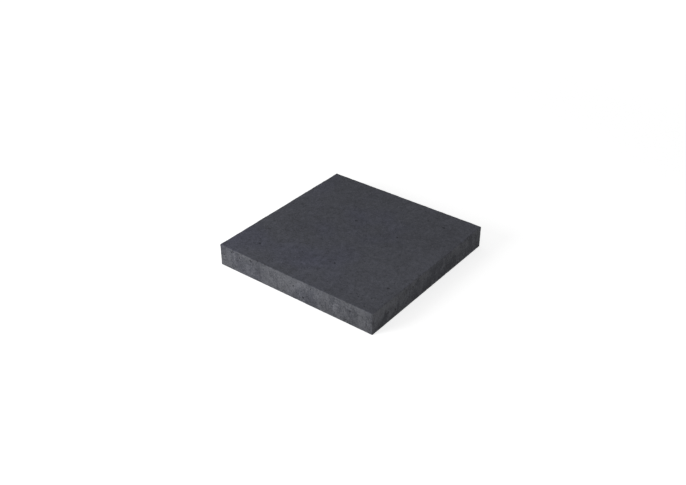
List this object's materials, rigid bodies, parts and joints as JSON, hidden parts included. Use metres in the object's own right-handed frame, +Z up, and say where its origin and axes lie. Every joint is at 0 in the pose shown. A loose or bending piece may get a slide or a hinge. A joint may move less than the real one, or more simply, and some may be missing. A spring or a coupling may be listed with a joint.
{
  "type": "concrete paving slab",
  "caption": "Flat square slab of dark grey pressed concrete with crisp, slightly rounded edges, laid on sand or mortar to pave a path or terrace.",
  "frame": {"origin": "middle of the bedding face, which lies on the ground", "axes": "+Z points up from the bedding face to the walking face; X and Y run along the slab's sides"},
  "size_m": [0.4, 0.4, 0.05],
  "materials": {
    "concrete": "matte"
  },
  "bodies": {
    "root": {"slab": "concrete"}
  },
  "joints": []
}
